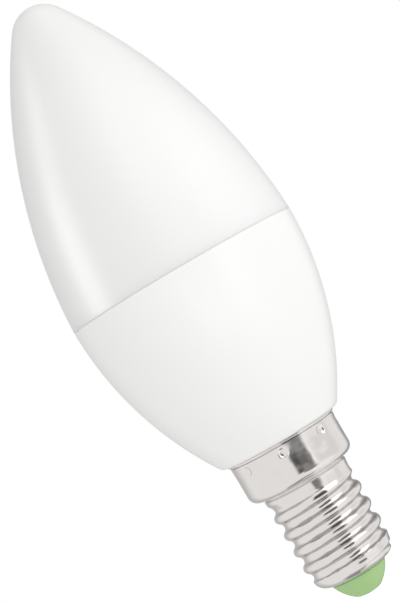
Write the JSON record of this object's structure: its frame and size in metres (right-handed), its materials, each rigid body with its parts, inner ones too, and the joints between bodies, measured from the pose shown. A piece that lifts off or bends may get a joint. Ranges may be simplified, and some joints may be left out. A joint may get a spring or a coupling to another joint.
{
  "type": "led candle bulb",
  "caption": "Candle-shaped LED bulb: opal flame diffuser on a white waisted housing, with a small nickel screw cap and a green end insulator.",
  "frame": {"origin": "centre of the flat end of the centre contact", "axes": "+Z along the bulb's axis from the cap to the tip, the front of the picture along -Y"},
  "size_m": [0.037, 0.037, 0.1004],
  "materials": {
    "opal_plastic": "satin opal moulding",
    "white_plastic": "smooth moulding, faintly warm white",
    "nickel_plate": "bright nickel plate on drawn brass",
    "green_plastic": "satin moulding"
  },
  "bodies": {
    "root": {"diffuser": "opal_plastic", "housing": "white_plastic", "screw_shell": "nickel_plate", "insulator": "green_plastic", "centre_contact": "nickel_plate"}
  },
  "joints": []
}
